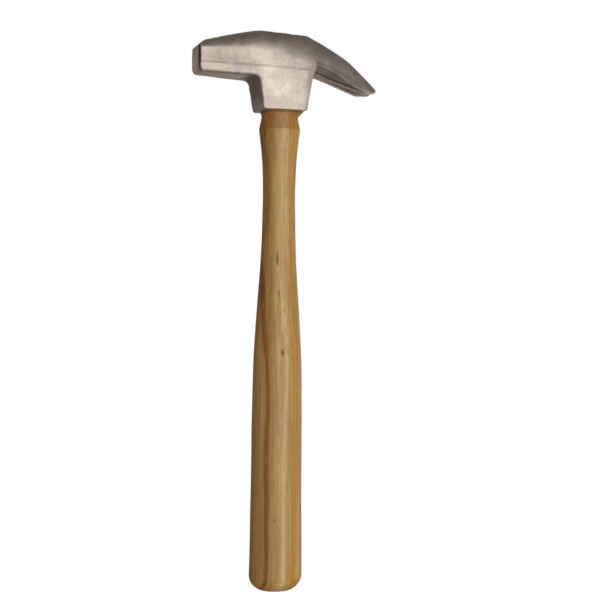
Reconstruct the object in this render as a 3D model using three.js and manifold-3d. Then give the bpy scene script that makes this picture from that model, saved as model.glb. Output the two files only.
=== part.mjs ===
// A claw-type driving hammer: a one-piece steel head hung on a wooden handle by wedges.
//
// Millimetres, +Z up. The handle's axis is the Z axis and the origin is the middle of the flat on its
// butt, so the hammer stands upright. The striking face looks along -X and the claw points along +X.
// Touching pieces keep a small gap, because a driven fit would be an overlap.

import * as THREE from 'three';
import { mergeVertices } from 'three/addons/utils/BufferGeometryUtils.js';
import Module from 'manifold-3d';

const wasm = await Module();
wasm.setup();

// ---- Driving dimensions ------------------------------------------------------------------------

const GAP = 0.3;
const OVERRUN = 10;

// Handle: half length along X of its oval section at heights up the grip, waist and shoulder.
const BUTT_FLAT = 5.5;
const BUTT_DOME = 9.5;
const GRIP_PROFILE = [
  [BUTT_DOME, 16.3], [30, 16.0], [75, 15.6], [115, 15.35], [145, 14.6], [169, 13.1], [194, 11.3],
  [222, 10.25], [246, 10.05], [264, 10.9], [279.7, 12.7],
];
const OVAL_RATIO = 0.78;
const SHOULDER_NECK = [287, 11.2];
const SHOULDER_FLARE = 1.6;

// Socket: the neck of the head that grips the tongue of the handle.
const SOCKET_BOTTOM = 290.6;
const SOCKET_BOTTOM_X = [-14.1, 13.8];
const SOCKET_TOP_X = [-16.2, 17.6];
const SOCKET_FILLET = 4.2;
const CLAW_FILLET = 3;

// Poll: the striking end.
const FACE_X = -53;
const FACE_TOP = 327;
const FACE_CHAMFER = 1.4;
const FACE_BEVEL_SLOPE = 0.9;
const POLL_FLOOR_AT_FACE = 311.5;
const POLL_FLOOR_AT_SOCKET = 309.9;
const PLATE_WIDTH = 40;

// Ridge: the top line of the arch, up the poll, gently down over the eye and down the claw's back.
// A flat is ground off the crown around the eye.
const POLL_RIDGE = [[-48.9, 331.35], [-13.5, 339.5]];
const POLL_RIDGE_BOW = 0.35;
const CROWN_RIDGE = [[-13.5, 339.5], [15.4, 338]];
const CROWN_GROUND_OFF = 0.8;
const CLAW_RIDGE = [
  [15.4, 338], [22.8, 334.8], [30.4, 330.9], [38, 326.6], [45.6, 321.5], [53.2, 314.7], [60, 307.7],
];

// Claw.
const CLAW_ROOT = [20, 314.3];
const CLAW_HEEL = [51, 303.3];
const CLAW_TOE = [58, 303.6];
const CLAW_TIP = [60, 305.5];
const CLAW_UNDER_BOW = 0.3;
const SLOT_APEX_X = 38;
const SLOT_APEX_HALF = 0.7;
const SLOT_MOUTH_X = 64;
const SLOT_MOUTH_HALF = 3.8;
const SLOT_TILT = THREE.MathUtils.degToRad(33);
const SLOT_MIDDLE_Z = 316;
const SLOT_DEPTH = 28;

// Half width of the head along Y at its parting line, and the height where its cheeks turn into the
// arch of the crown. Below the parting line the cheeks lean in by the draft.
const CHEEK_HALF_WIDTH = [
  [-51.6, 9.9], [-34, 12.1], [-16, 14.2], [10, 14.3], [14.5, 13.8], [18, 12.2], [23, 11.2],
  [30, 10.8], [42, 10], [61, 9.3],
];
const PARTING_Z = 315.6;
const CHEEK_DRAFT = 0.08;
const CHEEK_TOP = [
  [-52.6, 325.6], [-32, 325.6], [-14, 325.2], [4, 321.8], [13, 318.3], [18, 315.5], [30, 313],
  [40, 308.4], [61, 303],
];
const LEAST_RISE = 0.3;

// Eye and tongue: half lengths of the oval hole at its lower rim, its waist and its upper rim.
const EYE = [[SOCKET_BOTTOM, 9.3, 7.2], [322, 8.9, 6.1], [338, 9.5, 6.4]];
const TONGUE_TOP = 337.2;

// Wedges: depth, thickness at the driven end, thickness at the thin end, width.
const WOOD_WEDGE = { depth: 26, thick: 2.8, thin: 0.9, width: 16.4, top: 336.9 };
const STEEL_WEDGE = { depth: 13, thick: 1.9, thin: 0.5, width: 8.4, top: 336.7 };
const STEEL_WEDGE_X = 4.6;
const KERF_WIDTH = 30;

const CURVE_STEPS = 10;
const OVAL_SEGMENTS = 40;

// ---- Geometry helpers --------------------------------------------------------------------------

/** Turns a closed geometry into a solid that can be joined and cut. */
function solid(geometry) {
  const bare = geometry.clone();
  bare.deleteAttribute('normal');
  bare.deleteAttribute('uv');
  const merged = mergeVertices(bare, 1e-4);
  return new wasm.Manifold(new wasm.Mesh({
    numProp: 3,
    vertProperties: Float32Array.from(merged.attributes.position.array),
    triVerts: Uint32Array.from(merged.index.array),
  }));
}

/** Turns a solid back into a geometry. */
function geometryOf(body) {
  const { vertProperties, triVerts } = body.getMesh();
  const geometry = new THREE.BufferGeometry();
  geometry.setAttribute('position', new THREE.BufferAttribute(Float32Array.from(vertProperties), 3));
  geometry.setIndex(new THREE.BufferAttribute(Uint32Array.from(triVerts), 1));
  return geometry;
}

/** A smooth function through [position, value] pairs. */
function smoothThrough(pairs) {
  const positions = pairs.map((pair) => pair[0]);
  const values = pairs.map((pair) => pair[1]);
  const interpolant = new THREE.CubicInterpolant(positions, values, 1);
  return (position) => interpolant.evaluate(position)[0];
}

/** A straight line between two points, bowed upwards by the given height at its middle. */
function bowed([x0, z0], [x1, z1], bow) {
  return (x) => {
    const t = (x - x0) / (x1 - x0);
    return z0 + (z1 - z0) * t + 4 * bow * t * (1 - t);
  };
}

/** Evenly spaced positions, both ends included. */
function spaced(from, to, steps) {
  return Array.from({ length: steps + 1 }, (_, i) => from + ((to - from) * i) / steps);
}

/** A closed solid lofted through rings: ringPoint(ring, step) is a point, and centre(ring) closes an end. */
function loft(ringCount, stepCount, ringPoint, centre) {
  const geometry = new THREE.CylinderGeometry(1, 1, 1, stepCount, ringCount - 1);
  const position = geometry.attributes.position;
  for (let i = 0; i < position.count; i++) {
    const x = position.getX(i);
    const z = position.getZ(i);
    const ring = Math.round((0.5 - position.getY(i)) * (ringCount - 1));
    const turn = Math.atan2(x, z) / (2 * Math.PI);
    const step = (Math.round(turn * stepCount) + stepCount) % stepCount;
    const onAxis = Math.hypot(x, z) < 0.5;
    position.setXYZ(i, ...(onAxis ? centre(ring) : ringPoint(ring, step)));
  }
  return solid(geometry);
}

/** A solid of oval rings around Z, from its lowest ring up: { z, a, b, x } with a along X, b along Y. */
function ovalLoft(rings) {
  const fromTop = [...rings].reverse();
  return loft(
    rings.length,
    OVAL_SEGMENTS,
    (ring, step) => {
      const { z, a, b, x = 0 } = fromTop[ring];
      const angle = (step / OVAL_SEGMENTS) * 2 * Math.PI;
      return [x + a * Math.sin(angle), -b * Math.cos(angle), z];
    },
    (ring) => [fromTop[ring].x ?? 0, 0, fromTop[ring].z],
  );
}

/** Extrudes an outline drawn in X and Z along Y, centred on the XZ plane. */
function extrudedAcross(shape, width) {
  const geometry = new THREE.ExtrudeGeometry(shape, {
    depth: width, bevelEnabled: false, curveSegments: CURVE_STEPS,
  });
  geometry.translate(0, 0, -width / 2);
  geometry.rotateX(Math.PI / 2);
  return geometry;
}

/** A wedge with its thick end up at the given height, thin across X and wide along Y. */
function wedgeGeometry({ depth, thick, thin, width, top }, clearance = 0) {
  const outline = new THREE.Shape();
  outline.moveTo(-thick / 2 - clearance, top);
  outline.lineTo(-thin / 2 - clearance, top - depth - clearance);
  outline.lineTo(thin / 2 + clearance, top - depth - clearance);
  outline.lineTo(thick / 2 + clearance, top);
  if (clearance > 0) {
    outline.lineTo(thick / 2 + clearance, top + OVERRUN);
    outline.lineTo(-thick / 2 - clearance, top + OVERRUN);
  }
  return extrudedAcross(outline, width + 2 * clearance);
}

// ---- Head --------------------------------------------------------------------------------------

const cheekHalfWidth = smoothThrough(CHEEK_HALF_WIDTH);
const cheekTop = smoothThrough(CHEEK_TOP);
const pollRidge = bowed(...POLL_RIDGE, POLL_RIDGE_BOW);
const crownRidge = bowed(...CROWN_RIDGE, 0);
const clawRidge = smoothThrough(CLAW_RIDGE);

/** Top of the arch at x, before the flat is ground across the crown. */
function ridge(x) {
  return x > CLAW_RIDGE[0][0] ? clawRidge(x) : Math.min(pollRidge(x), crownRidge(x));
}

/** Height of the flat ground across the crown. */
function crownFlat(x) {
  return crownRidge(x) - CROWN_GROUND_OFF;
}

/** Half width at x, narrowed by the chamfer around the striking face. */
function halfWidth(x) {
  const chamfered = FACE_CHAMFER - (x - FACE_X);
  return cheekHalfWidth(Math.max(x, FACE_X + FACE_CHAMFER)) - Math.max(chamfered, 0);
}

/** The head seen from the side: poll, socket and claw as one plate, wider than the head. */
function sidePlate() {
  const [bottomLeft, bottomRight] = SOCKET_BOTTOM_X;
  const [topLeft, topRight] = SOCKET_TOP_X;
  const far = CLAW_TIP[0] + 1;
  const bevelMeetsFlat = FACE_X + (crownFlat(FACE_X) - FACE_TOP) / FACE_BEVEL_SLOPE;
  const [heelX, heelZ] = CLAW_HEEL;
  const underside = bowed(CLAW_ROOT, CLAW_HEEL, CLAW_UNDER_BOW);
  const underMiddle = (CLAW_ROOT[0] + heelX) / 2;

  const outline = new THREE.Shape();
  outline.moveTo(FACE_X, FACE_TOP);
  outline.lineTo(FACE_X, POLL_FLOOR_AT_FACE + FACE_CHAMFER);
  outline.lineTo(FACE_X + FACE_CHAMFER, POLL_FLOOR_AT_FACE);
  outline.lineTo(topLeft - SOCKET_FILLET, POLL_FLOOR_AT_SOCKET);
  outline.quadraticCurveTo(
    topLeft,
    POLL_FLOOR_AT_SOCKET,
    topLeft,
    POLL_FLOOR_AT_SOCKET - SOCKET_FILLET,
  );
  outline.lineTo(bottomLeft, SOCKET_BOTTOM);
  outline.lineTo(bottomRight, SOCKET_BOTTOM);
  outline.lineTo(topRight, CLAW_ROOT[1] - CLAW_FILLET);
  outline.quadraticCurveTo(topRight + 1, CLAW_ROOT[1], ...CLAW_ROOT);
  outline.quadraticCurveTo(
    underMiddle,
    2 * underside(underMiddle) - (CLAW_ROOT[1] + heelZ) / 2,
    heelX,
    heelZ,
  );
  outline.lineTo(...CLAW_TOE);
  outline.lineTo(...CLAW_TIP);
  outline.lineTo(CLAW_TIP[0], crownFlat(far));
  outline.lineTo(bevelMeetsFlat, crownFlat(bevelMeetsFlat));
  return solid(extrudedAcross(outline, PLATE_WIDTH));
}

/** The head seen from the front: drafted cheeks under an elliptical arch, lofted from face to claw. */
function archedBar() {
  const low = SOCKET_BOTTOM - OVERRUN;
  const leanIn = CHEEK_DRAFT * (PARTING_Z - low);
  const stations = [
    FACE_X - 1,
    ...spaced(FACE_X, FACE_X + FACE_CHAMFER, 1),
    ...spaced(POLL_RIDGE[0][0], CROWN_RIDGE[0][0], 14),
    ...spaced(CROWN_RIDGE[0][0] + 1, CLAW_TIP[0] + 1, 30),
  ];
  const arch = spaced(-Math.PI / 2, Math.PI / 2, 18);
  const outline = (x) => {
    const half = halfWidth(x);
    const spring = Math.min(cheekTop(x), ridge(x) - LEAST_RISE);
    const rise = ridge(x) - spring;
    const parting = Math.min(PARTING_Z, spring - LEAST_RISE);
    return [
      [leanIn - half, low],
      [-half, parting],
      ...arch.map((angle) => [half * Math.sin(angle), spring + rise * Math.cos(angle)]),
      [half, parting],
      [half - leanIn, low],
    ];
  };
  const stepCount = arch.length + 4;
  return loft(
    stations.length,
    stepCount,
    (ring, step) => {
      const [y, z] = outline(stations[ring])[step];
      return [stations[ring], y, z];
    },
    (ring) => [stations[ring], 0, low + 1],
  );
}

/** The V-shaped nail slot, cut square to the claw. */
function nailSlot() {
  const outline = new THREE.Shape();
  outline.moveTo(SLOT_APEX_X, -SLOT_APEX_HALF);
  outline.lineTo(SLOT_MOUTH_X, -SLOT_MOUTH_HALF);
  outline.lineTo(SLOT_MOUTH_X, SLOT_MOUTH_HALF);
  outline.lineTo(SLOT_APEX_X, SLOT_APEX_HALF);
  outline.absarc(SLOT_APEX_X, 0, SLOT_APEX_HALF, Math.PI / 2, (3 * Math.PI) / 2, false);
  const geometry = new THREE.ExtrudeGeometry(outline, {
    depth: SLOT_DEPTH, bevelEnabled: false, curveSegments: CURVE_STEPS,
  });
  geometry.translate(-SLOT_APEX_X, 0, -SLOT_DEPTH / 2);
  geometry.rotateY(SLOT_TILT);
  geometry.translate(SLOT_APEX_X, 0, SLOT_MIDDLE_Z);
  return solid(geometry);
}

/** The oval hole through socket and crown, run past both ends. */
function eyeHole() {
  const rings = EYE.map(([z, a, b]) => ({ z, a, b }));
  const [first, last] = [rings[0], rings[rings.length - 1]];
  return ovalLoft([{ ...first, z: first.z - OVERRUN }, ...rings, { ...last, z: last.z + OVERRUN }]);
}

function hammerHead() {
  return sidePlate().intersect(archedBar()).subtract(eyeHole()).subtract(nailSlot());
}

// ---- Handle ------------------------------------------------------------------------------------

/** Oval ring of the grip at a height, keeping one proportion all the way up. */
function gripRing(z, a, x = 0) {
  return { z, a, b: a * OVAL_RATIO, x };
}

/** Domed butt, oval grip, slim waist, and the shoulder that ends just under the head. */
function gripBody() {
  const profile = smoothThrough(GRIP_PROFILE);
  const [buttHeight, buttHalf] = GRIP_PROFILE[0];
  const ringHeight = GRIP_PROFILE[GRIP_PROFILE.length - 1][0];
  const shoulderTop = SOCKET_BOTTOM - GAP;
  const [neckHeight, neckHalf] = SHOULDER_NECK;
  const dome = spaced(0, Math.PI / 2, 6).slice(0, -1).map((angle) => gripRing(
    buttHeight * (1 - Math.cos(angle)),
    BUTT_FLAT + (buttHalf - BUTT_FLAT) * Math.sin(angle),
  ));
  const grip = spaced(buttHeight, ringHeight, 32).map((z) => gripRing(z, profile(z)));
  const shoulder = [
    gripRing(neckHeight, neckHalf),
    { ...gripRing(shoulderTop, neckHalf, SHOULDER_FLARE), a: neckHalf + SHOULDER_FLARE },
  ];
  return ovalLoft([...dome, ...grip, ...shoulder]);
}

/** The tongue that fills the eye and reaches down into the shoulder. */
function tongue() {
  const eyeAt = (index) => smoothThrough(EYE.map((ring) => [ring[0], ring[index]]));
  const [eyeA, eyeB] = [eyeAt(1), eyeAt(2)];
  const inside = spaced(SOCKET_BOTTOM, TONGUE_TOP, 6).map((z) => ({
    z, a: eyeA(z) - GAP, b: eyeB(z) - GAP,
  }));
  return ovalLoft([{ ...inside[0], z: SHOULDER_NECK[0] }, ...inside]);
}

/** The saw kerf for the wood wedge, lengthwise in the oval, open at both its ends. */
function kerf() {
  return solid(wedgeGeometry({ ...WOOD_WEDGE, width: KERF_WIDTH }, GAP).rotateZ(Math.PI / 2));
}

/** The cut that a steel wedge makes for itself across the kerf. */
function steelWedgeCut(x) {
  return solid(wedgeGeometry(STEEL_WEDGE, GAP).translate(x, 0, 0));
}

function handle() {
  return gripBody()
    .add(tongue())
    .subtract(kerf())
    .subtract(steelWedgeCut(-STEEL_WEDGE_X))
    .subtract(steelWedgeCut(STEEL_WEDGE_X));
}

// ---- Wedges ------------------------------------------------------------------------------------

function woodWedge() {
  return solid(wedgeGeometry(WOOD_WEDGE).rotateZ(Math.PI / 2))
    .subtract(steelWedgeCut(-STEEL_WEDGE_X))
    .subtract(steelWedgeCut(STEEL_WEDGE_X));
}

function steelWedge(x) {
  return solid(wedgeGeometry(STEEL_WEDGE).translate(x, 0, 0));
}

// ---- Materials and assembly --------------------------------------------------------------------

function steel() {
  return new THREE.MeshStandardMaterial({ color: 0xa3978d, roughness: 0.5, metalness: 0.85 });
}

function wedgeSteel() {
  return new THREE.MeshStandardMaterial({ color: 0x8d8781, roughness: 0.45, metalness: 0.9 });
}

function ash() {
  return new THREE.MeshStandardMaterial({ color: 0xb08a55, roughness: 0.5, metalness: 0 });
}

function wedgeWood() {
  return new THREE.MeshStandardMaterial({ color: 0x7a5632, roughness: 0.65, metalness: 0 });
}

function piece(name, body, material) {
  const mesh = new THREE.Mesh(geometryOf(body), material);
  mesh.name = name;
  return mesh;
}

const hammer = new THREE.Group();
hammer.add(
  piece('hammer_head', hammerHead(), steel()),
  piece('handle', handle(), ash()),
  piece('wood_wedge', woodWedge(), wedgeWood()),
  piece('steel_wedge_front', steelWedge(-STEEL_WEDGE_X), wedgeSteel()),
  piece('steel_wedge_rear', steelWedge(STEEL_WEDGE_X), wedgeSteel()),
);

export default hammer;
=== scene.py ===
"""Finished looks for a claw-type driving hammer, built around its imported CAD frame.

Shapes are worked out in millimetres and turned into metres when a mesh is made. The handle's axis is
the Z axis, the striking face looks along -X, the claw points along +X, and the camera looks from -Y.
The head is a smooth implicit body: its side outline, its cheeks and arch, its ground crown, its eye
and its nail slot are distance fields, joined with rounded edges and turned into one mesh. The handle
is a dense loft, cut by the same wedges that hold the head on.
"""

import itertools
import math

import bpy
import numpy as np
from mathutils import Matrix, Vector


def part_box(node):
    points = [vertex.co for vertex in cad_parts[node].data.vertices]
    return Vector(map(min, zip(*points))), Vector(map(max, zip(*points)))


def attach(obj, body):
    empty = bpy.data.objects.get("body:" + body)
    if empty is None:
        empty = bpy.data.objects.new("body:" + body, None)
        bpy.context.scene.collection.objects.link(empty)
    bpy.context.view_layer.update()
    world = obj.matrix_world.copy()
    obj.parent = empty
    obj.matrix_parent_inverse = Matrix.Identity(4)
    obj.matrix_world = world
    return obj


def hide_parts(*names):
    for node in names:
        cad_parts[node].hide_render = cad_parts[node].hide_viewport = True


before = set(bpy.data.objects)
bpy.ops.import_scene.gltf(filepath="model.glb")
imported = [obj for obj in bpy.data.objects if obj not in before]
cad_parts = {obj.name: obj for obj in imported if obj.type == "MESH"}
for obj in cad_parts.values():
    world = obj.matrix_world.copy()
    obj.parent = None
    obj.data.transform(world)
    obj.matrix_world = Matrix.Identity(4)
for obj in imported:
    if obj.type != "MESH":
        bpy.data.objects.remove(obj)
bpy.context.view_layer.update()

MM = 0.001
BODY = "root"


def box_mm(node):
    """Lowest and highest corner of a CAD node, in millimetres."""
    return [np.array(corner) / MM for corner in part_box(node)]


HEAD_LOW, HEAD_HIGH = box_mm("hammer_head")

# ---- Dimensions of the head ----------------------------------------------------------------------

FACE_X = HEAD_LOW[0]
SOCKET_BOTTOM = HEAD_LOW[2]
TIP_X = HEAD_HIGH[0]
FACE_TOP = 327.0
ABOVE_HEAD = SOCKET_BOTTOM + 55
BEVEL_SLOPE = 0.9
FACE_CHAMFER = 1.4
POLL_FLOOR_AT_FACE = 311.5
POLL_FLOOR_AT_SOCKET = 309.9
POLL_RIDGE = [(-48.9, 331.3), (-14.2, 339.35)]
POLL_RIDGE_BOW = 0.35
CROWN_RIDGE = [(-14.2, 339.35), (15.4, 338.1)]
CROWN_GROUND_OFF = 0.8
CLAW_RIDGE = [
    (15.4, 338.1), (22.8, 334.8), (30.4, 330.9), (38, 326.7), (45.6, 321.6), (53.2, 314.7), (60, 307.8),
]
SEAM_AT_AXIS = 315.6
SEAM_SLOPE = -0.04
CHEEK_HALF_WIDTH = [
    (-51.6, 9.9), (-34, 12.1), (-16, 14.2), (8, 14.3), (14, 13.8), (18, 12.8), (23, 11.8),
    (30, 11), (42, 10), (61, 9.3),
]
ARCH_SPRING = [
    (-52.6, 325.6), (-32, 325.6), (-14, 325.2), (-4, 323.4), (5, 320.9), (13, 318.5), (19, 317.6),
    (24, 316.8), (29.3, 314.8), (34, 312.5), (38, 309.8), (43, 306.9), (50, 303.5), (61, 300),
]
ARCH_POWER = [(-60, 2.0), (6, 2.0), (24, 1.6), (61, 1.5)]
CHEEK_DRAFT = 0.08
CLAW_DRAFT = 0.85
CLAW_DRAFT_BEGINS = (17, 21)
CLAW_DRAFT_RISE = 1.2
CLAW_LOWER_EDGE = (321.2, -0.35)
SLOT_APEX = (38, 316)
SLOT_TILT = math.radians(33)
SLOT_APEX_HALF = 0.7
SLOT_WIDENING = 3.1 / 26
SLOT_REACH = 14
EYE_RIM = [(291.3, 9.3, 7.2), (322, 8.9, 6.1), (338, 9.5, 6.4)]
FILLET = (-16.5, 309.5)
CLAW_ROOT = (20.3, 315.3)

# Radii of the rounded edges. The poll's lower edges, between these Z and X, are rounder than the rest.
EDGE_RADIUS = 0.9
CROWN_EDGE_RADIUS = 0.2
CLAW_EDGE_RADIUS = 0.3
OPENING_RADIUS = 0.5
CHAMFER_RADIUS = 0.25
LOW_EDGE_EXTRA = 1.3
LOW_EDGE_Z = (318, 315)
LOW_EDGE_X = (-10, -14)
CHAMFER_FOOT_EXTRA = 2.2
CHAMFER_FOOT_Z = (314.5, 312)

LEAST_RISE = 0.3
CLAW_DRAFT_REACH = 6
GROUND_REACH = 20
WELL_INSIDE = -10
SEAM_DEPTH = 0.03
SEAM_HALF_WIDTH = 0.5
SEAM_BEYOND_Y = 4
SEAM_ENDS_X = 16
FORGED_WAVE_LENGTH = 14
FORGED_WAVE_HEIGHT = 0.035

# Spacings of the head's mesh and of the table of its side outline.
HEAD_STEP = 0.45
OUTLINE_STEP = 0.15
SETTLING_ROUNDS = 4
LEAST_SLOPE_SQUARED = 0.2
TINY = 1e-6

# ---- Dimensions of the handle --------------------------------------------------------------------

BUTT_FLAT = 5.5
BUTT_DOME = 9.5
BUTT_LEAN = 0.8
GRIP_PROFILE = [
    (BUTT_DOME, 16.3), (30, 16.0), (75, 15.6), (115, 15.35), (145, 14.6), (169, 13.1), (194, 11.3),
    (222, 10.25), (246, 10.05), (264, 10.9), (279.7, 12.7),
]
OVAL_RATIO = 0.78
RING_Z = GRIP_PROFILE[-1][0]
NECK = (287, 11.2)
SHOULDER_GAP = 0.06
SHOULDER_TOP = SOCKET_BOTTOM - SHOULDER_GAP
SHOULDER_FLARE = 1.3
SHOULDER_WIDENING = 2.0
SHOULDER_SQUARENESS = 0.45
EYE_CLEARANCE = 0.12
TONGUE_BELOW_CROWN = 0.35
TONGUE_TOP_BAND = 3
RING_EDGE_HEIGHT = 0.35
RING_EDGE_INSET = 0.05
GRIP_WAVE_LENGTH = 46
GRIP_WAVE_HEIGHT = 0.07
OVAL_STEPS = 96
BUTT_RINGS = 26
GRIP_RINGS = 270
NECK_RINGS = 9
SHOULDER_RINGS = 7
TONGUE_RINGS = 40

# ---- Dimensions of the wedges --------------------------------------------------------------------

WOOD_WEDGE = {"depth": 26, "thick": 2.8, "thin": 0.9, "width": 18.2, "lengthwise": True}
STEEL_WEDGE = {"depth": 13, "thick": 1.9, "thin": 0.5, "width": 8.4, "lengthwise": False}
STEEL_WEDGE_PLACES = {"steel_wedge_front": -4.6, "steel_wedge_rear": 4.6}
KERF_WIDTH = 30
WEDGE_BELOW_CROWN = 0.15
WEDGE_ROOM = 0.05
ABOVE_CROWN = 5

# ---- Studio --------------------------------------------------------------------------------------

# Strengths of the light from each direction, and the directions between which each one grows.
ROOM = 0.08
BACKDROP = 0.30
BACKDROP_SPREAD = (0.3, 0.85)
CEILING = 0.14
CEILING_SPREAD = (0.3, 0.8)
FLOOR = 0.26
FLOOR_SPREAD = (-0.6, -0.95)
STUDIO_TINT = (1.0, 0.93, 0.85, 1)

# Azimuth and elevation in degrees, width and height in metres, and watts of each light panel.
PANELS = {
    "front_panel": (9, -4, 0.75, 1.15, 11.2),
    "left_panel": (-112, 0, 0.5, 1.2, 1.5),
    "right_panel": (84, 0, 0.5, 1.2, 4),
    "back_panel": (150, 5, 0.6, 1.2, 6),
}
PANEL_DISTANCE = 1.4
LIT_POINT = (0, 0, 0.22)

# The camera's place in metres, its angles, and its lens and sensor in millimetres.
CAMERA_PLACE = (-0.24603, -0.87777, 0.1765)
CAMERA_YAW = math.radians(16.5)
CAMERA_ROLL = math.radians(0.57)
CAMERA_LENS = 90
SENSOR_WIDTH = 36

# Size in millimetres of the white surround.
COVE_RADIUS = 6000.0
COVE_CORNER = 1500.0
COVE_DROP = 0.4

# ---- Fields --------------------------------------------------------------------------------------


def smooth_through(pairs):
    """A smooth function through (position, value) pairs, straight beyond its ends."""
    position, value = np.array(pairs, float).T
    slope = np.gradient(value, position)

    def at(x):
        inside = np.clip(x, position[0], position[-1])
        i = np.clip(np.searchsorted(position, inside) - 1, 0, len(position) - 2)
        width = position[i + 1] - position[i]
        t = (inside - position[i]) / width
        values = (1 + 2 * t) * (1 - t) ** 2 * value[i] + t * t * (3 - 2 * t) * value[i + 1]
        slopes = t * (1 - t) ** 2 * slope[i] - t * t * (1 - t) * slope[i + 1]
        beyond = (x - inside) * np.where(x < inside, slope[0], slope[-1])
        return values + width * slopes + beyond

    return at


def bowed(ends, bow=0.0):
    """A line through two (x, z) points, bowed up at its middle."""
    (x0, z0), (x1, z1) = ends

    def at(x):
        t = (x - x0) / (x1 - x0)
        return z0 + (z1 - z0) * t + 4 * bow * t * (1 - t)

    return at


def portion(value, none, full):
    """Nought at one value and one at the other, straight between them and held beyond."""
    return np.clip((value - none) / (full - none), 0, 1)


def smooth_max(a, b, radius):
    """The larger of two fields, with the edge between them rounded."""
    blend = np.maximum(radius - np.abs(a - b), 0) / radius
    return np.maximum(a, b) + radius * blend * blend / 4


def rounded_outline(corners, steps=8):
    """Points of a closed outline through (x, z, radius) corners, each corner turned into a curve."""
    points = []
    for i, (x, z, radius) in enumerate(corners):
        corner = np.array((x, z), float)
        towards = [np.array(corners[(i + side) % len(corners)][:2]) - corner for side in (-1, 1)]
        before, after = [arm / np.linalg.norm(arm) for arm in towards]
        half_angle = math.acos(float(np.clip(before @ after, -1, 1))) / 2
        reach = radius / math.tan(half_angle)
        start, end = corner + before * reach, corner + after * reach
        for t in np.linspace(0, 1, steps):
            points.append((1 - t) ** 2 * start + 2 * t * (1 - t) * corner + t * t * end)
    return np.array(points)


def outline_distance(points, x, z):
    """Signed distance to a closed outline, below zero inside it."""
    nearest = np.full(x.shape, np.inf)
    inside = np.zeros(x.shape, bool)
    for (ax, az), (bx, bz) in zip(points, np.roll(points, -1, axis=0)):
        along_x, along_z = bx - ax, bz - az
        length = along_x**2 + along_z**2
        if length == 0:
            continue
        t = np.clip(((x - ax) * along_x + (z - az) * along_z) / length, 0, 1)
        nearest = np.minimum(nearest, (x - ax - t * along_x) ** 2 + (z - az - t * along_z) ** 2)
        if along_z != 0:
            inside ^= ((az > z) != (bz > z)) & (x < ax + (z - az) * along_x / along_z)
    return np.where(inside, -1, 1) * np.sqrt(nearest)


def tabulated(field, low, high, step):
    """A fast copy of a field of x and z: a table read with linear interpolation."""
    x_axis = np.arange(low[0], high[0] + step, step)
    z_axis = np.arange(low[1], high[1] + step, step)
    table = field(*np.meshgrid(x_axis, z_axis, indexing="ij"))

    def at(x, z):
        u = np.clip((x - low[0]) / step, 0, len(x_axis) - 1.001)
        v = np.clip((z - low[1]) / step, 0, len(z_axis) - 1.001)
        i, j = u.astype(int), v.astype(int)
        s, t = u - i, v - j
        lower = table[i, j] * (1 - s) + table[i + 1, j] * s
        upper = table[i, j + 1] * (1 - s) + table[i + 1, j + 1] * s
        return lower * (1 - t) + upper * t

    return at


def ripple(seed, wavelength, count=10):
    """A gentle random waviness between about -1 and 1, the same every run."""
    draws = np.random.default_rng(seed)
    directions = draws.normal(size=(count, 3))
    directions /= np.linalg.norm(directions, axis=1)[:, None]
    lengths = wavelength * draws.uniform(0.6, 1.6, count)
    phases = draws.uniform(0, 2 * math.pi, count)

    def at(x, y, z):
        total = 0.0
        for (dx, dy, dz), length, phase in zip(directions, lengths, phases):
            total = total + np.sin((x * dx + y * dy + z * dz) * 2 * math.pi / length + phase)
        return total / math.sqrt(count)

    return at


# ---- Head ----------------------------------------------------------------------------------------

half_width_at = smooth_through(CHEEK_HALF_WIDTH)
spring_at = smooth_through(ARCH_SPRING)
poll_ridge = bowed(POLL_RIDGE, POLL_RIDGE_BOW)
crown_ridge = bowed(CROWN_RIDGE)
claw_ridge = smooth_through(CLAW_RIDGE)
power_at = smooth_through(ARCH_POWER)
eye_half_length = smooth_through([(z, a) for z, a, b in EYE_RIM])
eye_half_width = smooth_through([(z, b) for z, a, b in EYE_RIM])
forged_ripple = ripple(seed=3, wavelength=FORGED_WAVE_LENGTH)


def seam_height(x):
    """Height of the forging's parting line on the cheeks."""
    return SEAM_AT_AXIS + SEAM_SLOPE * x


def crown_flat(x):
    """Height of the flat ground around the eye."""
    return crown_ridge(x) - CROWN_GROUND_OFF


def arch_section(x):
    """Half width, spring height, rise and power of the superelliptical arch at x."""
    top = smooth_max(-poll_ridge(x), -crown_ridge(x), CROWN_EDGE_RADIUS)
    ridge = -smooth_max(top, -claw_ridge(x), CLAW_EDGE_RADIUS)
    spring = np.minimum(spring_at(x), ridge - LEAST_RISE)
    return half_width_at(x), spring, ridge - spring, power_at(x)


SIDE_CORNERS = [
    (FACE_X, FACE_TOP, 0.9),
    (FACE_X, POLL_FLOOR_AT_FACE, 3.0),
    (-17.1, POLL_FLOOR_AT_SOCKET, 4.0),
    (-14.1, SOCKET_BOTTOM, 2.0),
    (13.9, SOCKET_BOTTOM, 1.6),
    (17.9, 314.8, 2.6),
    (36, 308.4, 30),
    (51, 303.3, 4),
    (58, 303.5, 1.2),
    (TIP_X, 305.2, 0.5),
    (TIP_X + 2, ABOVE_HEAD, 0),
    (FACE_X + (ABOVE_HEAD - FACE_TOP) / BEVEL_SLOPE, ABOVE_HEAD, 0),
]
side_points = rounded_outline(SIDE_CORNERS)
side_distance = tabulated(
    lambda x, z: outline_distance(side_points, x, z),
    (FACE_X - 3, SOCKET_BOTTOM - 3),
    (TIP_X + 4, ABOVE_HEAD + 1),
    OUTLINE_STEP,
)


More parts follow.
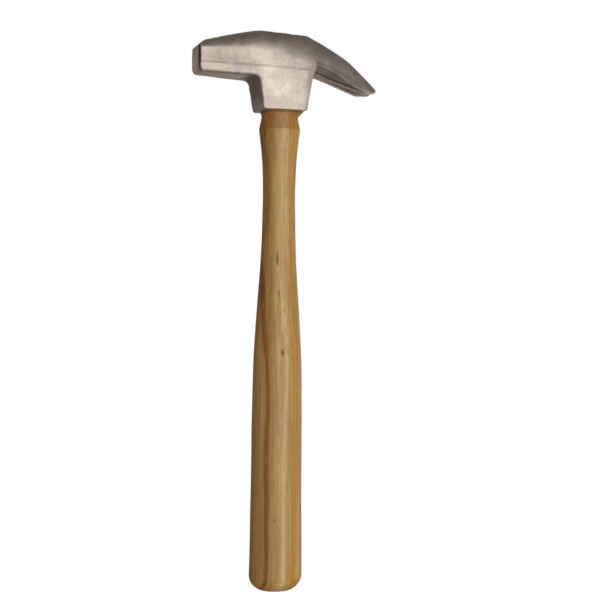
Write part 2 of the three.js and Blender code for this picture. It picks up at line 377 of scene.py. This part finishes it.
def arch_distance(x, y, z):
    """Distance to the cheeks and to the arch above them."""
    half, spring, rise, power = arch_section(x)
    on_claw = np.interp(x, CLAW_DRAFT_BEGINS, (0, 1))
    lean = CHEEK_DRAFT * (1 - on_claw) * np.maximum(seam_height(x) - z, 0)
    below = np.clip(spring + CLAW_DRAFT_RISE - z, 0, CLAW_DRAFT_REACH)
    half = half - lean - CLAW_DRAFT * on_claw * below
    across = (np.abs(y) + TINY) / half
    above = np.maximum(z - spring, 0) / rise
    reach = (across**power + above**power) ** (1 / power)
    steepness = np.hypot(across ** (power - 1) / half, above ** (power - 1) / rise)
    return (reach - 1) * reach ** (power - 1) / steepness


def slot_distance(x, y, z):
    """Distance to the V-shaped nail slot, cut square to the claw."""
    apex_x, apex_z = SLOT_APEX
    along = (x - apex_x) * math.cos(SLOT_TILT) - (z - apex_z) * math.sin(SLOT_TILT)
    across = (x - apex_x) * math.sin(SLOT_TILT) + (z - apex_z) * math.cos(SLOT_TILT)
    flank = np.abs(y) - SLOT_APEX_HALF - SLOT_WIDENING * np.maximum(along, 0)
    rounded = np.hypot(np.minimum(along, 0), y) - SLOT_APEX_HALF
    walls = np.where(along > 0, flank, rounded)
    return np.maximum(walls, np.abs(across) - SLOT_REACH)


def eye_distance(x, y, z):
    """Distance to the oval eye."""
    a, b = eye_half_length(z), eye_half_width(z)
    reach = np.hypot(x / a, y / b) + TINY
    return reach * (reach - 1) / (np.hypot(x / a**2, y / b**2) + TINY)


def head_field(x, y, z):
    """The whole head: below zero in the steel."""
    half = half_width_at(x)
    side = side_distance(x, z)
    cheeks = arch_distance(x, y, z)
    low_on_poll = portion(z, *LOW_EDGE_Z) * portion(x, *LOW_EDGE_X)
    body = smooth_max(side, cheeks, EDGE_RADIUS + LOW_EDGE_EXTRA * low_on_poll)
    chamfer = (np.abs(y) - half + FACE_X + FACE_CHAMFER - x) / math.sqrt(2)
    chamfer_foot = portion(z, *CHAMFER_FOOT_Z)
    body = smooth_max(body, chamfer, CHAMFER_RADIUS + CHAMFER_FOOT_EXTRA * chamfer_foot)
    ground = np.where(np.abs(x) < GROUND_REACH, z - crown_flat(x), WELL_INSIDE)
    for cut in (ground, -slot_distance(x, y, z), -eye_distance(x, y, z)):
        body = smooth_max(body, cut, OPENING_RADIUS)
    has_seam = (np.abs(y) > SEAM_BEYOND_Y) & (x < SEAM_ENDS_X)
    seam = np.where(has_seam, np.exp(-(((z - seam_height(x)) / SEAM_HALF_WIDTH) ** 2)), 0)
    return body + SEAM_DEPTH * seam + FORGED_WAVE_HEIGHT * forged_ripple(x, y, z)


def gradient(field, points, reach=0.03):
    """Slope of a field at each point."""
    slopes = []
    for axis in np.eye(3) * reach:
        ahead = field(*(points + axis).T)
        behind = field(*(points - axis).T)
        slopes.append((ahead - behind) / (2 * reach))
    return np.stack(slopes, axis=1)


def net_over(field, low, high, step):
    """A closed quad mesh over the surface where a field is zero: points, normals and faces."""
    axes = [np.arange(a - 2 * step, b + 3 * step, step) for a, b in zip(low, high)]
    values = field(*np.meshgrid(*axes, indexing="ij"))
    inside = values < 0

    corners = list(itertools.product((0, 1), repeat=3))
    size = [n - 1 for n in values.shape]
    filled = sum(
        inside[i : i + size[0], j : j + size[1], k : k + size[2]].astype(np.int8)
        for i, j, k in corners
    )
    cells = np.argwhere((filled > 0) & (filled < 8))
    number = np.full(size, -1)
    number[tuple(cells.T)] = np.arange(len(cells))

    total = np.zeros((len(cells), 3))
    crossings = np.zeros(len(cells))
    for corner, axis in itertools.product(corners, range(3)):
        if corner[axis]:
            continue
        step_along = np.eye(3, dtype=int)[axis]
        here = values[tuple((cells + corner).T)]
        there = values[tuple((cells + corner + step_along).T)]
        crossed = (here < 0) != (there < 0)
        share = np.where(crossed, here / np.where(crossed, here - there, 1), 0)
        spot = cells + corner + share[:, None] * step_along
        total += np.where(crossed[:, None], spot, 0)
        crossings += crossed
    points = np.array([a[0] for a in axes]) + step * total / crossings[:, None]

    faces = []
    for axis in range(3):
        ahead = [slice(1, None) if i == axis else slice(None) for i in range(3)]
        behind = [slice(None, -1) if i == axis else slice(None) for i in range(3)]
        spots = np.argwhere(inside[tuple(behind)] != inside[tuple(ahead)])
        leaving = inside[tuple(spots.T)]
        u, v = np.roll(np.eye(3, dtype=int), -axis - 1, axis=0)[:2]
        ring = [spots - u - v, spots - v, spots, spots - u]
        quads = np.stack([number[tuple(spot.T)] for spot in ring], axis=1)
        quads[~leaving] = quads[~leaving][:, ::-1]
        faces.append(quads)

    for _ in range(SETTLING_ROUNDS):
        slope = gradient(field, points)
        move = field(*points.T) / np.maximum((slope**2).sum(axis=1), LEAST_SLOPE_SQUARED)
        points = points - np.clip(move, -step / 2, step / 2)[:, None] * slope
    normals = gradient(field, points)
    normals /= np.linalg.norm(normals, axis=1)[:, None]
    return points, normals, np.concatenate(faces)


# ---- Making pieces -------------------------------------------------------------------------------


def piece_from(name, points, faces, material, normals=None):
    """A smooth-shaded mesh object from points in millimetres."""
    mesh = bpy.data.meshes.new(name)
    mesh.from_pydata((np.asarray(points) * MM).tolist(), [], [list(face) for face in faces])
    mesh.polygons.foreach_set("use_smooth", [True] * len(mesh.polygons))
    if normals is not None:
        mesh.normals_split_custom_set_from_vertices(normals.tolist())
    mesh.materials.append(material)
    piece = bpy.data.objects.new(name, mesh)
    bpy.context.scene.collection.objects.link(piece)
    return piece


def stand_for(piece, node):
    """Puts a finished piece in the place of a CAD node."""
    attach(piece, BODY)
    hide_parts(node)


def bake_modifiers(piece):
    """Makes a piece's mesh what its modifiers give."""
    view = bpy.context.evaluated_depsgraph_get()
    mesh = bpy.data.meshes.new_from_object(piece.evaluated_get(view))
    piece.modifiers.clear()
    piece.data = mesh


def cut_by(piece, cutters):
    """Cuts the cutters out of a piece and deletes them."""
    for cutter in cutters:
        cut = piece.modifiers.new("cut", "BOOLEAN")
        cut.operation = "DIFFERENCE"
        cut.solver = "EXACT"
        cut.object = cutter
    bake_modifiers(piece)
    for cutter in cutters:
        bpy.data.objects.remove(cutter)


def oval(z, a, b, x=0.0, squareness=0.0):
    """One ring of an oval loft: a along X, b along Y, with its sides squared up when asked."""
    turn = np.linspace(0, 2 * math.pi, OVAL_STEPS, endpoint=False)
    cos, sin = np.cos(turn), np.sin(turn)
    along = np.sign(cos) * np.abs(cos) ** (1 - squareness)
    across = np.sign(sin) * np.abs(sin) ** (1 - squareness)
    return np.stack([x + a * along, b * across, np.full(OVAL_STEPS, z)], axis=1)


def oval_loft(rings):
    """Points and faces of a closed loft whose first and last ring are filled to their middles."""
    points = np.concatenate(rings + [[ring.mean(axis=0)] for ring in (rings[0], rings[-1])])
    bottom, top = len(points) - 2, len(points) - 1
    last = (len(rings) - 1) * OVAL_STEPS
    faces = []
    for i in range(OVAL_STEPS):
        j = (i + 1) % OVAL_STEPS
        faces.append((bottom, j, i))
        faces.append((top, last + i, last + j))
        for ring in range(len(rings) - 1):
            low, high = ring * OVAL_STEPS, (ring + 1) * OVAL_STEPS
            faces.append((low + i, low + j, high + j, high + i))
    return points, faces


# ---- Material helpers ----------------------------------------------------------------------------


def colour(red, green, blue):
    """A linear colour from display values between 0 and 255."""
    parts = [part / 255 for part in (red, green, blue)]
    linear = [p / 12.92 if p <= 0.04045 else ((p + 0.055) / 1.055) ** 2.4 for p in parts]
    return (*linear, 1)


class Finish:
    """A node material with short calls for the nodes used here. Lengths are in millimetres."""

    def __init__(self, name):
        self.material = bpy.data.materials.new(name)
        self.material.use_nodes = True
        self.tree = self.material.node_tree
        self.tree.nodes.clear()
        place = self.tree.nodes.new("ShaderNodeTexCoord").outputs["Object"]
        self.place = self.vector("MULTIPLY", place, (1 / MM, 1 / MM, 1 / MM))
        parts = self.node("SeparateXYZ", {"Vector": self.place})
        self.x, self.y, self.z = parts.outputs

    def node(self, kind, inputs, **settings):
        node = self.tree.nodes.new("ShaderNode" + kind)
        for key, value in settings.items():
            setattr(node, key, value)
        for key, value in inputs.items():
            if isinstance(value, bpy.types.NodeSocket):
                self.tree.links.new(value, node.inputs[key])
            else:
                node.inputs[key].default_value = value
        return node

    def vector(self, operation, a, b):
        return self.node("VectorMath", {0: a, 1: b}, operation=operation).outputs[0]

    def math(self, operation, a, b=0.0):
        return self.node("Math", {0: a, 1: b}, operation=operation).outputs[0]

    def sum_of(self, *terms):
        """A sum of (socket, weight) terms."""
        total = None
        for socket, weight in terms:
            part = self.math("MULTIPLY", socket, weight)
            total = part if total is None else self.math("ADD", total, part)
        return total

    def product(self, first, *others):
        """A product of sockets."""
        for other in others:
            first = self.math("MULTIPLY", first, other)
        return first

    def above_line(self, height_at_axis, slope):
        """Height above a line that slopes along X."""
        line = self.math("ADD", self.math("MULTIPLY", self.x, slope), height_at_axis)
        return self.math("SUBTRACT", self.z, line)

    def near(self, x, z, full, gone):
        """One within a distance of an axis through (x, z) along Y, falling to nought at another."""
        aside = self.math("SUBTRACT", self.x, x)
        above = self.math("SUBTRACT", self.z, z)
        squares = self.math("ADD", self.math("MULTIPLY", aside, aside), self.math("MULTIPLY", above, above))
        return self.span(self.math("SQRT", squares), full, gone, 1, 0)

    def noise(self, scale, stretch=(1, 1, 1), detail=3.0, roughness=0.5):
        """Noise whose grains are about one over scale millimetres, divided by stretch along each axis."""
        stretched = self.vector("MULTIPLY", self.place, stretch)
        inputs = {"Vector": stretched, "Scale": scale, "Detail": detail, "Roughness": roughness}
        return self.node("TexNoise", inputs).outputs["Fac"]

    def span(self, value, low, high, to_low=0.0, to_high=1.0, smooth=True):
        """A value mapped from one range to another, held at both ends."""
        kind = "SMOOTHSTEP" if smooth else "LINEAR"
        inputs = {"Value": value, "From Min": low, "From Max": high, "To Min": to_low, "To Max": to_high}
        return self.node("MapRange", inputs, interpolation_type=kind).outputs[0]

    def ramp(self, value, stops, low=0.0, high=1.0):
        """A colour ramp with stops given as (value, colour)."""
        share = self.math("DIVIDE", self.math("SUBTRACT", value, low), high - low)
        node = self.node("ValToRGB", {"Fac": share})
        elements = node.color_ramp.elements
        while len(elements) < len(stops):
            elements.new(0.5)
        for element, (position, tint) in zip(elements, stops):
            element.position = (position - low) / (high - low)
            element.color = tint
        return node.outputs["Color"]

    def mix(self, factor, a, b, blend="MIX"):
        node = self.node("Mix", {}, data_type="RGBA", blend_type=blend)
        for index, value in ((0, factor), (6, a), (7, b)):
            if isinstance(value, bpy.types.NodeSocket):
                self.tree.links.new(value, node.inputs[index])
            else:
                node.inputs[index].default_value = value
        return node.outputs[2]

    def bump(self, height, distance, strength):
        inputs = {"Height": height, "Distance": distance * MM, "Strength": strength}
        return self.node("Bump", inputs).outputs["Normal"]

    def finish(self, **inputs):
        """Ends the tree in a Principled shader and returns the material."""
        sockets = {key.replace("_", " "): value for key, value in inputs.items()}
        shader = self.node("BsdfPrincipled", sockets)
        output = self.tree.nodes.new("ShaderNodeOutputMaterial")
        self.tree.links.new(shader.outputs[0], output.inputs["Surface"])
        return self.material


# ---- Materials -----------------------------------------------------------------------------------

# Colours of the handle's growth rings at distances across it, and the flecks and dark streaks on its
# near side: position along X and Z, half width, half length, strength and colour.
RING_COLOURS = [
    (-17, colour(196, 152, 90)),
    (-13.8, colour(204, 160, 94)),
    (-12.8, colour(198, 150, 86)),
    (-12.0, colour(156, 104, 54)),
    (-10.8, colour(164, 112, 58)),
    (-10.0, colour(198, 150, 84)),
    (-7.4, colour(206, 160, 96)),
    (-4.6, colour(222, 182, 120)),
    (-1.6, colour(236, 200, 142)),
    (0.6, colour(226, 184, 122)),
    (1.8, colour(208, 162, 96)),
    (2.8, colour(212, 166, 98)),
    (3.8, colour(202, 150, 72)),
    (7.6, colour(204, 152, 72)),
    (9.4, colour(220, 176, 100)),
    (12.0, colour(208, 162, 86)),
    (17, colour(214, 168, 94)),
]
FLECKS = [
    (-2.9, 201.2, 0.8, 4.6, 0.8, colour(104, 58, 22)),
    (-2.0, 180.3, 0.7, 2.6, 0.55, colour(118, 72, 34)),
    (0.1, 144.8, 1.1, 2.4, 0.8, colour(132, 60, 26)),
    (-4.0, 44.1, 1.0, 1.1, 0.6, colour(110, 100, 74)),
    (-8.9, 238, 1.8, 26, 0.5, colour(138, 88, 42)),
    (-9.5, 262, 1.3, 10, 0.45, colour(124, 74, 34)),
    (-11.0, 186, 1.6, 12, 0.55, colour(126, 76, 34)),
]


def head_steel():
    """Blasted forged steel: a soft parting line, and painted shade in its corners, slot and claw edges."""
    steel = Finish("head_steel")
    clouds = steel.noise(0.09, detail=4, roughness=0.6)
    mottle = steel.noise(0.35, detail=5, roughness=0.65)
    grain = steel.noise(3.2, detail=3, roughness=0.6)
    pits = steel.span(steel.noise(1.1, detail=2), 0.30, 0.38, 1, 0)

    shade = steel.sum_of((clouds, 0.6), (mottle, 0.3), (grain, 0.1))
    tint = steel.ramp(shade, [
        (0.36, colour(180, 167, 160)),
        (0.50, colour(208, 194, 181)),
        (0.64, colour(230, 218, 204)),
    ])

    off_line = steel.math("ABSOLUTE", steel.above_line(SEAM_AT_AXIS, SEAM_SLOPE))
    dashes = steel.span(steel.noise(0.16, stretch=(1, 0.2, 0.2), detail=2), 0.38, 0.6, 0.5, 1)
    on_cheek = steel.span(steel.math("ABSOLUTE", steel.y), 8.0, 8.6)
    before_claw = steel.span(steel.x, 13, 17, 1, 0)
    seam = steel.product(steel.span(off_line, 0.0, 1.3, 1, 0), dashes, on_cheek, before_claw)
    tint = steel.mix(steel.math("MULTIPLY", seam, 0.5), tint, colour(134, 114, 100))
    tint = steel.mix(steel.math("MULTIPLY", pits, 0.2), tint, colour(120, 108, 98))

    # Painted shade in the fillet, down the socket's poll side, at the claw's root, along its leaning walls
    # and their lower edges and in the slot, and a painted dark reflection on the chamfer round the face.
    facing = steel.node("SeparateXYZ", {"Vector": steel.node("NewGeometry", {}).outputs["Normal"]})
    sideways = steel.math("ABSOLUTE", facing.outputs["Y"])
    off_cheek = steel.span(sideways, 0.35, 0.75, 1, 0)
    on_neck = steel.product(
        steel.span(steel.x, -17.2, -16.4), steel.span(steel.x, -12, -11, 1, 0),
        steel.span(steel.z, 285, 301), steel.span(steel.z, 309, 313, 1, 0),
    )
    corner = steel.near(*FILLET, 2.5, 9)
    socket_shade = steel.product(steel.math("MAXIMUM", corner, on_neck), off_cheek)
    claw_root_shade = steel.product(steel.near(*CLAW_ROOT, 0.6, 3.2), steel.span(steel.x, 17, 19))
    lower_edge = steel.math("ABSOLUTE", steel.above_line(*CLAW_LOWER_EDGE))
    on_claw = steel.product(steel.span(steel.x, 18, 20), steel.span(steel.x, 47, 52, 1, 0))
    on_wall = steel.span(sideways, 0.3, 0.55)
    lower_edge_shade = steel.product(steel.span(lower_edge, 0.3, 1.5, 1, 0), on_claw, on_wall)
    claw_wall = steel.product(
        on_claw, on_wall, steel.span(lower_edge, 6, 8, 1, 0),
        steel.span(facing.outputs["Z"], 0.15, 0.5, 1, 0),
    )
    in_slot = steel.product(
        steel.span(steel.math("ABSOLUTE", steel.y), 4.2, 4.8, 1, 0), steel.span(steel.x, 32, 34),
        steel.span(sideways, 0.7, 0.9),
    )
    face_chamfer = steel.product(
        steel.span(facing.outputs["X"], -0.6, -0.4, 1, 0), steel.span(sideways, 0.4, 0.6),
        steel.span(steel.x, -50, -49, 1, 0), steel.span(steel.z, 312, 324, 0.55, 1),
    )
    # Painted shade and painted dark reflection: the strongest of these masks darkens the steel's colour.
    scale = steel.math("MAXIMUM", steel.math("MULTIPLY", socket_shade, 0.75), lower_edge_shade)
    scale = steel.math("MAXIMUM", scale, steel.math("MULTIPLY", claw_root_shade, 0.6))
    scale = steel.math("MAXIMUM", scale, steel.math("MULTIPLY", in_slot, 0.6))
    scale = steel.math("MAXIMUM", scale, steel.math("MULTIPLY", claw_wall, 0.5))
    scale = steel.math("MAXIMUM", scale, face_chamfer)
    tint = steel.mix(steel.math("MULTIPLY", scale, 0.9), tint, colour(88, 74, 62))

    roughness = steel.sum_of((mottle, 0.14), (grain, 0.08))
    roughness = steel.math("ADD", roughness, 0.46)
    relief = steel.sum_of((mottle, 0.5), (grain, 0.35), (pits, -0.5), (seam, -0.6))
    normal = steel.bump(relief, 0.12, 0.5)
    return steel.finish(Base_Color=tint, Metallic=1.0, Roughness=roughness, Normal=normal)


def handle_ash():
    """Oiled ash, sawn so that its growth rings stand nearly flat across the handle."""
    wood = Finish("handle_ash")
    wander = wood.noise(0.012, detail=2)
    flutter = wood.noise(0.09, stretch=(1, 1, 0.12), detail=2)
    across = wood.sum_of((wood.x, 0.966), (wood.y, 0.259), (wander, 5.0), (flutter, 1.6))
    across = wood.math("SUBTRACT", across, 3.3)
    tint = wood.ramp(across, RING_COLOURS, -20, 20)
    stripes = wood.span(wood.noise(0.42, stretch=(1, 1, 0.012), detail=3), 0.40, 0.62)
    tint = wood.mix(wood.math("MULTIPLY", stripes, 0.32), tint, colour(164, 112, 60))
    streaks = wood.noise(0.9, stretch=(1, 1, 0.02), detail=4, roughness=0.65)
    fine = wood.noise(3.4, stretch=(1, 1, 0.03), detail=3, roughness=0.6)
    grainy = wood.span(wood.sum_of((streaks, 0.6), (fine, 0.4)), 0.3, 0.7, smooth=False)
    tint = wood.mix(0.45, tint, wood.ramp(grainy, [
        (0.0, colour(110, 84, 58)), (0.5, colour(188, 188, 184)), (1.0, colour(255, 248, 232)),
    ]), blend="OVERLAY")
    pores = wood.span(wood.noise(2.6, stretch=(1, 1, 0.07), detail=1), 0.34, 0.40, 1, 0)
    tint = wood.mix(wood.math("MULTIPLY", pores, 0.3), tint, colour(150, 104, 54))

    above_ring = wood.span(wood.z, RING_Z - 0.3, RING_Z + 0.3)
    tint = wood.mix(wood.math("MULTIPLY", above_ring, 0.45), tint, colour(160, 98, 46))
    # Painted shadow of the head on the wood just under it, stronger on the claw's side.
    under_head = wood.span(wood.z, SOCKET_BOTTOM - 1.7, SOCKET_BOTTOM - 0.7)
    painted_head_shadow = wood.math("MULTIPLY", under_head, wood.span(wood.x, 9.5, 11.5, 0.45, 0.65))
    tint = wood.mix(painted_head_shadow, tint, colour(96, 56, 26))

    on_near_side = wood.span(wood.y, -4, -2, 1, 0)
    for x, z, half_wide, half_long, strength, stain in FLECKS:
        aside = wood.math("DIVIDE", wood.math("SUBTRACT", wood.x, x), half_wide)
        along = wood.math("DIVIDE", wood.math("SUBTRACT", wood.z, z), half_long)
        away = wood.math("ADD", wood.product(aside, aside), wood.product(along, along))
        fleck = wood.product(wood.span(away, 0.1, 1.3, 1, 0), on_near_side)
        tint = wood.mix(wood.math("MULTIPLY", fleck, strength), tint, stain)

    roughness = wood.math("ADD", wood.sum_of((streaks, 0.14), (pores, 0.12)), 0.42)
    relief = wood.sum_of((streaks, 0.25), (fine, 0.3), (pores, -0.7))
    normal = wood.bump(relief, 0.08, 0.5)
    return wood.finish(Base_Color=tint, Roughness=roughness, Normal=normal, Specular_IOR_Level=0.35)


def wedge_wood():
    """The darker end grain of the wood wedge."""
    wood = Finish("wedge_wood")
    rings = wood.noise(0.5, stretch=(0.2, 1, 0.1), detail=4)
    pores = wood.span(wood.noise(3.5, stretch=(1, 1, 0.1), detail=1), 0.34, 0.42, 1, 0)
    tint = wood.ramp(rings, [(0.3, colour(104, 68, 38)), (0.7, colour(150, 108, 66))])
    tint = wood.mix(wood.math("MULTIPLY", pores, 0.5), tint, colour(62, 38, 22))
    normal = wood.bump(wood.sum_of((rings, 0.4), (pores, -0.7)), 0.1, 0.6)
    return wood.finish(Base_Color=tint, Roughness=0.62, Normal=normal)


def wedge_steel():
    """Bare mill steel, mottled, with a fine grain in its roughness and bumps."""
    steel = Finish("wedge_steel")
    mottle = steel.noise(0.8, detail=4)
    grain = steel.noise(5.0, stretch=(1, 0.3, 1), detail=3)
    tint = steel.ramp(mottle, [(0.3, colour(120, 112, 104)), (0.7, colour(182, 174, 166))])
    roughness = steel.math("ADD", steel.math("MULTIPLY", grain, 0.2), 0.3)
    normal = steel.bump(steel.sum_of((mottle, 0.7), (grain, 0.3)), 0.1, 0.6)
    return steel.finish(Base_Color=tint, Metallic=1.0, Roughness=roughness, Normal=normal)


# ---- Pieces --------------------------------------------------------------------------------------


def make_head():
    step = HEAD_STEP
    points, normals, faces = net_over(head_field, HEAD_LOW, HEAD_HIGH, step)
    head = piece_from("head_forging", points, faces, head_steel(), normals)
    stand_for(head, "hammer_head")


def handle_rings():
    """Rings of the handle from its butt to the top of the tongue."""
    profile = smooth_through(GRIP_PROFILE)
    butt_half = GRIP_PROFILE[0][1]
    rings = [oval(0.0, BUTT_FLAT * share, BUTT_FLAT * share * OVAL_RATIO) for share in (0.4, 0.8)]
    for angle in np.linspace(0, math.pi / 2, BUTT_RINGS)[:-1]:
        a = BUTT_FLAT + (butt_half - BUTT_FLAT) * math.sin(angle)
        rings.append(oval(BUTT_DOME * (1 - math.cos(angle)), a, a * OVAL_RATIO))
    for z in np.linspace(BUTT_DOME, RING_Z - RING_EDGE_HEIGHT, GRIP_RINGS):
        rings.append(oval(z, profile(z), profile(z) * OVAL_RATIO))
    neck_z, neck_a = NECK
    ring_a = profile(RING_Z)
    rings.append(oval(RING_Z, ring_a - RING_EDGE_INSET, (ring_a - RING_EDGE_INSET) * OVAL_RATIO))
    for share in np.linspace(0.06, 1, NECK_RINGS):
        a = ring_a + (neck_a - ring_a) * share
        rings.append(oval(RING_Z + (neck_z - RING_Z) * share, a, a * OVAL_RATIO))
    for share in np.linspace(0.15, 1, SHOULDER_RINGS):
        z = neck_z + (SHOULDER_TOP - neck_z) * share
        flare = SHOULDER_FLARE * share
        b = neck_a * OVAL_RATIO + SHOULDER_WIDENING * share
        rings.append(oval(z, neck_a + flare, b, x=flare, squareness=SHOULDER_SQUARENESS * share))
    top = float(crown_flat(0.0))
    for z in [SHOULDER_TOP, *np.linspace(SOCKET_BOTTOM, top - TONGUE_TOP_BAND, TONGUE_RINGS)]:
        rings.append(oval(z, eye_half_length(z) - EYE_CLEARANCE, eye_half_width(z) - EYE_CLEARANCE))
    tongue_a = eye_half_length(top) - EYE_CLEARANCE
    tongue_b = eye_half_width(top) - EYE_CLEARANCE
    for share in (1, 0.97, 0.8, 0.6, 0.4, 0.2):
        ring = oval(top, tongue_a * share, tongue_b * share)
        ring[:, 2] = crown_height(ring[:, 0], ring[:, 1]) - TONGUE_BELOW_CROWN * share**6
        rings.append(ring)
    return rings


def crown_height(x, y):
    """Height of the finished crown at a point inside the eye."""
    half, spring, rise, power = arch_section(x)
    arch = spring + rise * (1 - (np.abs(y) / half) ** power) ** (1 / power)
    return np.minimum(arch, crown_flat(x))


def wedge_block(name, wedge, middle, material, room=0.0, above=0.0):
    """A tapered block, thick end up and flush with the crown, with room added round it for a cutter."""
    points = []
    for below, half in ((wedge["depth"] + room, wedge["thin"] / 2), (-above, wedge["thick"] / 2)):
        for s, t in ((-1, -1), (1, -1), (1, 1), (-1, 1)):
            thin, wide = s * (half + room), t * (wedge["width"] / 2 + room)
            x, y = (wide, thin) if wedge["lengthwise"] else (thin, wide)
            points.append((middle + x, y, crown_flat(middle + x) - WEDGE_BELOW_CROWN - below))
    faces = [(0, 3, 2, 1), (4, 5, 6, 7)] + [(i, (i + 1) % 4, (i + 1) % 4 + 4, i + 4) for i in range(4)]
    if wedge["lengthwise"]:
        faces = [face[::-1] for face in faces]
    return piece_from(name, points, faces, material)


def steel_wedge_cutters(material):
    return [
        wedge_block("cutter", STEEL_WEDGE, middle, material, WEDGE_ROOM, ABOVE_CROWN)
        for middle in STEEL_WEDGE_PLACES.values()
    ]


def soften(piece, width):
    """Rounds a piece's edges, and keeps its sides flat."""
    bevel = piece.modifiers.new("bevel", "BEVEL")
    bevel.width = width * MM
    bevel.segments = 3
    bevel.limit_method = "ANGLE"
    bevel.harden_normals = True
    bake_modifiers(piece)


def make_handle():
    points, faces = oval_loft(handle_rings())
    x, y, z = points.T
    waves = ripple(seed=8, wavelength=GRIP_WAVE_LENGTH)(x, y, z)
    outward = points[:, :2] / np.maximum(np.hypot(x, y), 1)[:, None]
    on_grip = portion(z, RING_Z - 6, RING_Z - 26) * portion(z, 0, 8)
    lean = portion(x, 0, GRIP_PROFILE[0][1]) ** 2 * portion(z, 0, 4) * portion(z, 60, 20)
    points[:, :2] += outward * (GRIP_WAVE_HEIGHT * waves * on_grip)[:, None]
    points[:, 2] += BUTT_LEAN * lean
    wood = handle_ash()
    handle = piece_from("ash_handle", points, faces, wood)
    kerf = wedge_block("cutter", {**WOOD_WEDGE, "width": KERF_WIDTH}, 0, wood, WEDGE_ROOM, ABOVE_CROWN)
    cut_by(handle, [kerf, *steel_wedge_cutters(wood)])
    handle.data.set_sharp_from_angle(angle=math.radians(40))
    stand_for(handle, "handle")


def make_wedges():
    wood = wedge_wood()
    wood_piece = wedge_block("wood_wedge_driven", WOOD_WEDGE, 0, wood)
    cut_by(wood_piece, steel_wedge_cutters(wood))
    soften(wood_piece, 0.12)
    stand_for(wood_piece, "wood_wedge")
    steel = wedge_steel()
    for node, middle in STEEL_WEDGE_PLACES.items():
        piece = wedge_block(node + "_driven", STEEL_WEDGE, middle, steel)
        soften(piece, 0.2)
        stand_for(piece, node)


def camera_at_photo_angle():
    data = bpy.data.cameras.new("camera")
    data.sensor_width = SENSOR_WIDTH
    data.lens = CAMERA_LENS
    camera = bpy.data.objects.new("camera", data)
    bpy.context.scene.collection.objects.link(camera)
    camera.location = CAMERA_PLACE
    camera.rotation_mode = "XYZ"
    camera.rotation_euler = (math.pi / 2, 0, -CAMERA_YAW)
    roll = Matrix.Rotation(CAMERA_ROLL, 3, "Z")
    camera.rotation_euler = (camera.rotation_euler.to_matrix() @ roll).to_euler()
    bpy.context.scene.camera = camera


def soft_panel(name, azimuth, elevation, width, height, watts):
    """A rectangular studio light aimed at the hammer. Azimuth 0 is in front, growing towards the claw."""
    data = bpy.data.lights.new(name, "AREA")
    data.shape = "RECTANGLE"
    data.size, data.size_y = width, height
    data.energy = watts
    panel = bpy.data.objects.new(name, data)
    turn, lift = math.radians(azimuth), math.radians(elevation)
    offset = np.array((math.sin(turn) * math.cos(lift), -math.cos(turn) * math.cos(lift), math.sin(lift)))
    panel.location = np.array(LIT_POINT) + PANEL_DISTANCE * offset
    panel.rotation_euler = (math.pi / 2 - lift, 0, turn)
    bpy.context.scene.collection.objects.link(panel)


def studio_world():
    """What the hammer reflects beside the lights: a dim room, with a paler backdrop behind it."""
    world = bpy.data.worlds.new("studio")
    bpy.context.scene.world = world
    world.use_nodes = True
    tree = world.node_tree
    background = tree.nodes["Background"]
    where = tree.nodes.new("ShaderNodeTexCoord")
    parts = tree.nodes.new("ShaderNodeSeparateXYZ")
    tree.links.new(where.outputs["Generated"], parts.inputs[0])

    def eased(value, low, high, to_low, to_high):
        node = tree.nodes.new("ShaderNodeMapRange")
        node.interpolation_type = "SMOOTHSTEP"
        tree.links.new(value, node.inputs["Value"])
        for key, number in (("From Min", low), ("From Max", high), ("To Min", to_low), ("To Max", to_high)):
            node.inputs[key].default_value = number
        return node.outputs[0]

    behind = eased(parts.outputs["Y"], *BACKDROP_SPREAD, ROOM, BACKDROP)
    overhead = eased(parts.outputs["Z"], *CEILING_SPREAD, 0.0, CEILING)
    underfoot = eased(parts.outputs["Z"], *FLOOR_SPREAD, 0.0, FLOOR)
    strength = behind
    for part in (overhead, underfoot):
        brighter = tree.nodes.new("ShaderNodeMath")
        brighter.operation = "MAXIMUM"
        tree.links.new(strength, brighter.inputs[0])
        tree.links.new(part, brighter.inputs[1])
        strength = brighter.outputs[0]
    tree.links.new(strength, background.inputs["Strength"])
    background.inputs["Color"].default_value = STUDIO_TINT


def studio():
    bpy.context.scene.view_settings.view_transform = "Standard"
    studio_world()
    for name, panel in PANELS.items():
        soft_panel(name, *panel)


def paper_cove():
    """A white floor that curves up into white walls all round, and shows no shadow."""
    paper = bpy.data.materials.new("paper")
    paper.use_nodes = True
    tree = paper.node_tree
    tree.nodes.clear()
    glow = tree.nodes.new("ShaderNodeEmission")
    glow.inputs["Color"].default_value = (1, 1, 1, 1)
    output = tree.nodes.new("ShaderNodeOutputMaterial")
    tree.links.new(glow.outputs[0], output.inputs["Surface"])
    profile = []
    for turn in np.linspace(0, math.pi / 2, 10):
        reach = COVE_RADIUS - COVE_CORNER + COVE_CORNER * math.sin(turn)
        height = COVE_CORNER * (1 - math.cos(turn))
        profile.append((reach, height - COVE_DROP))
    for turn in np.linspace(0.1, math.pi / 2 - 0.05, 12):
        height = COVE_CORNER + COVE_RADIUS * math.sin(turn)
        profile.append((COVE_RADIUS * math.cos(turn), height - COVE_DROP))
    rings = [oval(z, reach, reach) for reach, z in profile]
    points, faces = oval_loft(rings)
    cove = piece_from("paper_cove", points, faces, paper)
    for kind in ("diffuse", "glossy", "transmission", "shadow"):
        setattr(cove, "visible_" + kind, False)


make_head()
make_handle()
make_wedges()
camera_at_photo_angle()
studio()
paper_cove()
